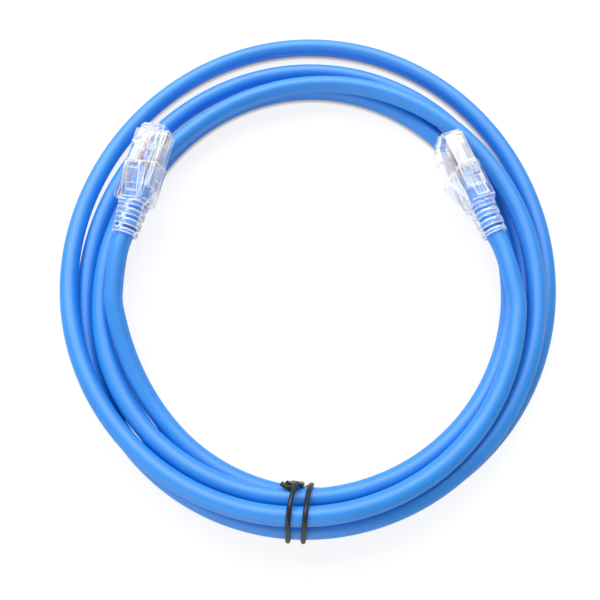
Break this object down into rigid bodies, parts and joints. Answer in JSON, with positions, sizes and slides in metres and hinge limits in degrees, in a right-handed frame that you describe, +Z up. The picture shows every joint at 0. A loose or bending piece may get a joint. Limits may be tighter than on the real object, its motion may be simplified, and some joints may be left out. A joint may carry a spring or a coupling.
{
  "type": "ethernet patch cable",
  "caption": "Coiled blue ethernet patch cable with clear latching plugs and ribbed clear boots, held by a dark wire tie.",
  "frame": {"origin": "centre of the floor area that the coiled cable covers, on the surface it lies on", "axes": "+Z up from that surface; +Y away from the wire tie towards the top of the pictured coil; +X to the picture's right"},
  "size_m": [0.1652, 0.1799, 0.0271],
  "materials": {
    "jacket": "matte blue PVC",
    "tie": "dark plastic-coated wire",
    "clear_housing": "clear polycarbonate",
    "clear_boot": "clear flexible PVC",
    "contact_gold": "gold-plated blade",
    "wire_white_orange": "insulated conductor",
    "wire_orange": "insulated conductor",
    "wire_white_green": "insulated conductor",
    "wire_blue": "insulated conductor",
    "wire_white_blue": "insulated conductor",
    "wire_green": "insulated conductor",
    "wire_white_brown": "insulated conductor",
    "wire_brown": "insulated conductor"
  },
  "bodies": {
    "root": {"cable_jacket": "jacket", "wire_tie": "tie", "plug_a_housing": "clear_housing", "plug_a_boot": "clear_boot", "plug_a_load_bar": "clear_housing", "plug_a_contact_1": "contact_gold", "plug_a_contact_2": "contact_gold", "plug_a_contact_3": "contact_gold", "plug_a_contact_4": "contact_gold", "plug_a_contact_5": "contact_gold", "plug_a_contact_6": "contact_gold", "plug_a_contact_7": "contact_gold", "plug_a_contact_8": "contact_gold", "plug_a_wire_1": "wire_white_orange", "plug_a_wire_2": "wire_orange", "plug_a_wire_3": "wire_white_green", "plug_a_wire_4": "wire_blue", "plug_a_wire_5": "wire_white_blue", "plug_a_wire_6": "wire_green", "plug_a_wire_7": "wire_white_brown", "plug_a_wire_8": "wire_brown", "plug_b_housing": "clear_housing", "plug_b_boot": "clear_boot", "plug_b_load_bar": "clear_housing", "plug_b_contact_1": "contact_gold", "plug_b_contact_2": "contact_gold", "plug_b_contact_3": "contact_gold", "plug_b_contact_4": "contact_gold", "plug_b_contact_5": "contact_gold", "plug_b_contact_6": "contact_gold", "plug_b_contact_7": "contact_gold", "plug_b_contact_8": "contact_gold", "plug_b_wire_1": "wire_white_orange", "plug_b_wire_2": "wire_orange", "plug_b_wire_3": "wire_white_green", "plug_b_wire_4": "wire_blue", "plug_b_wire_5": "wire_white_blue", "plug_b_wire_6": "wire_green", "plug_b_wire_7": "wire_white_brown", "plug_b_wire_8": "wire_brown"},
    "latch_a": {"plug_a_latch": "clear_housing"},
    "latch_b": {"plug_b_latch": "clear_housing"}
  },
  "joints": [
    {"name": "latch_a_flex", "type": "hinge", "parent": "root", "child": "latch_a", "pos_m": [-0.0524, 0.04135, 0.02294], "axis": [0.9338, -0.2477, 0.2582], "range_deg": [0, 13], "stiffness_Nm_per_rad": 0.1},
    {"name": "latch_b_flex", "type": "hinge", "parent": "root", "child": "latch_b", "pos_m": [0.04408, 0.04016, 0.01337], "axis": [0.0278, 0.0253, 0.9993], "range_deg": [0, 13], "stiffness_Nm_per_rad": 0.1}
  ]
}
